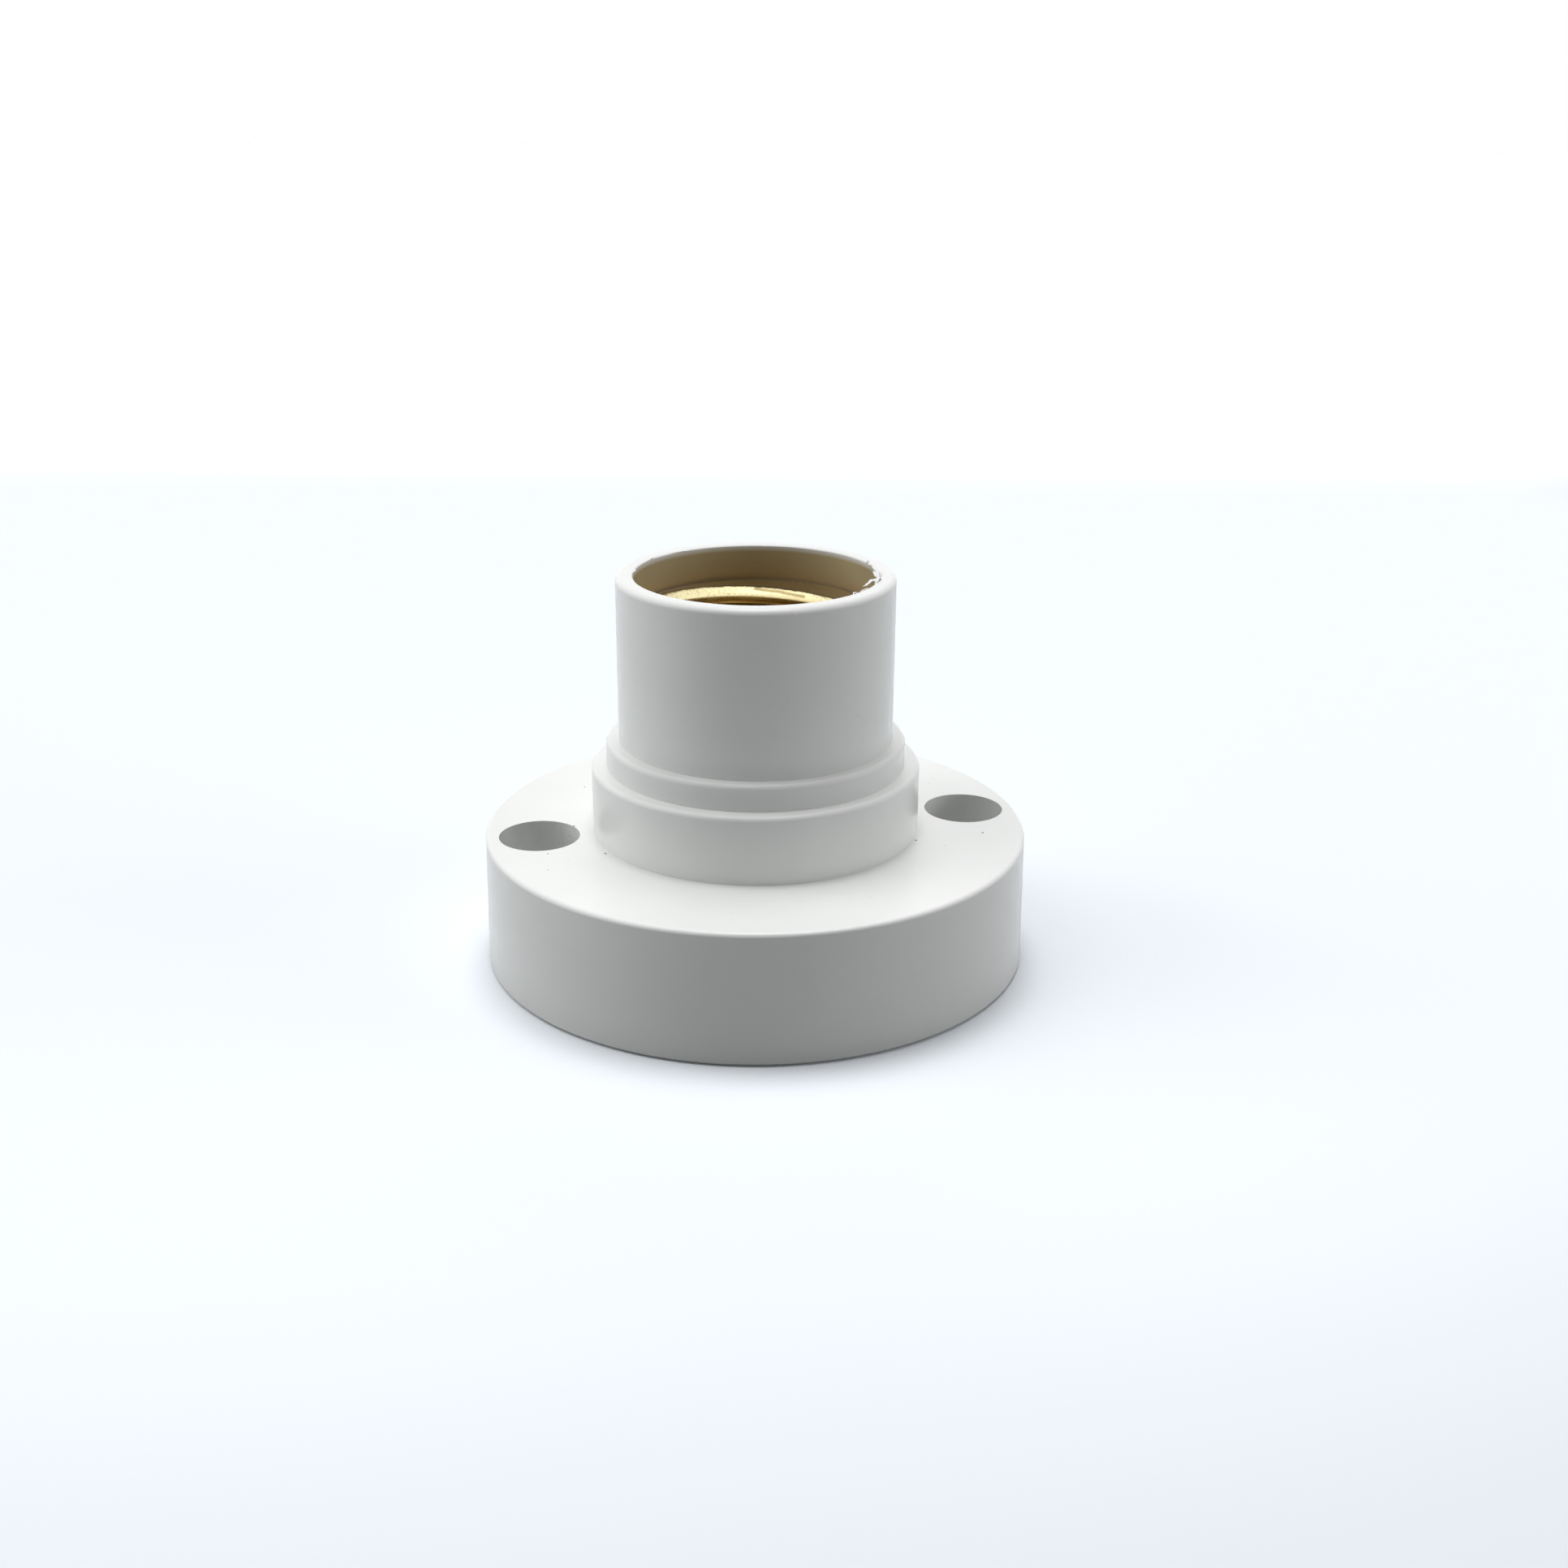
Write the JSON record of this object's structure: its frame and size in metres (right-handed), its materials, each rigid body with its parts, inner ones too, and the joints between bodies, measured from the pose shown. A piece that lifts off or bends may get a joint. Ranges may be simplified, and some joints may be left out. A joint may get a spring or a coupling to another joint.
{
  "type": "surface-mount lamp holder",
  "caption": "Round screw lamp holder for a wall or ceiling: stepped moulding on a flat base with recessed mounting holes, brass screw shell, sprung centre contact, terminals underneath.",
  "frame": {"origin": "centre of the flat back of the base, where the holder lies on the wall", "axes": "+Z out of the wall along the barrel towards the lamp; the two mounting holes lie on X"},
  "size_m": [0.0652, 0.0652, 0.0466],
  "materials": {
    "moulded_plastic": "off-white moulding, satin gloss",
    "brass": "rolled sheet, bright",
    "plated_steel": "zinc plated"
  },
  "bodies": {
    "root": {"housing": "moulded_plastic", "screw_shell": "brass", "centre_contact": "brass", "contact_rivet": "brass", "shell_rivet_1": "brass", "shell_rivet_2": "brass", "shell_rivet_3": "brass", "centre_terminal": "brass", "shell_terminal": "brass"},
    "contact_tip": {"contact_button": "brass"},
    "centre_clamp": {"centre_clamp_washer": "plated_steel"},
    "centre_screw": {"centre_terminal_screw": "plated_steel"},
    "shell_clamp": {"shell_clamp_washer": "plated_steel"},
    "shell_screw": {"shell_terminal_screw": "plated_steel"}
  },
  "joints": [
    {"name": "contact_press", "type": "slide", "parent": "root", "child": "contact_tip", "axis": [0, 0, 1], "range_m": [-0.0013, 0], "stiffness_N_per_m": 2500, "springref_m": 0.0002, "deforming": ["centre_contact"]},
    {"name": "centre_clamp_slide", "type": "slide", "parent": "root", "child": "centre_clamp", "axis": [0, 0, 1], "range_m": [-0.0021, 0]},
    {"name": "centre_screw_turn", "type": "hinge", "parent": "centre_clamp", "child": "centre_screw", "pos_m": [0, -0.02139, 0.0082], "axis": [0, 0, 1], "range_deg": [-1261, 0]},
    {"name": "shell_clamp_slide", "type": "slide", "parent": "root", "child": "shell_clamp", "axis": [0, 0, 1], "range_m": [-0.0021, 0]},
    {"name": "shell_screw_turn", "type": "hinge", "parent": "shell_clamp", "child": "shell_screw", "pos_m": [0, 0.02139, 0.0082], "axis": [0, 0, 1], "range_deg": [-1261, 0]}
  ],
  "couplings": [
    {"joint": "centre_screw_turn", "follows": "centre_clamp_slide", "rad_per_m": 10472},
    {"joint": "shell_screw_turn", "follows": "shell_clamp_slide", "rad_per_m": 10472}
  ]
}
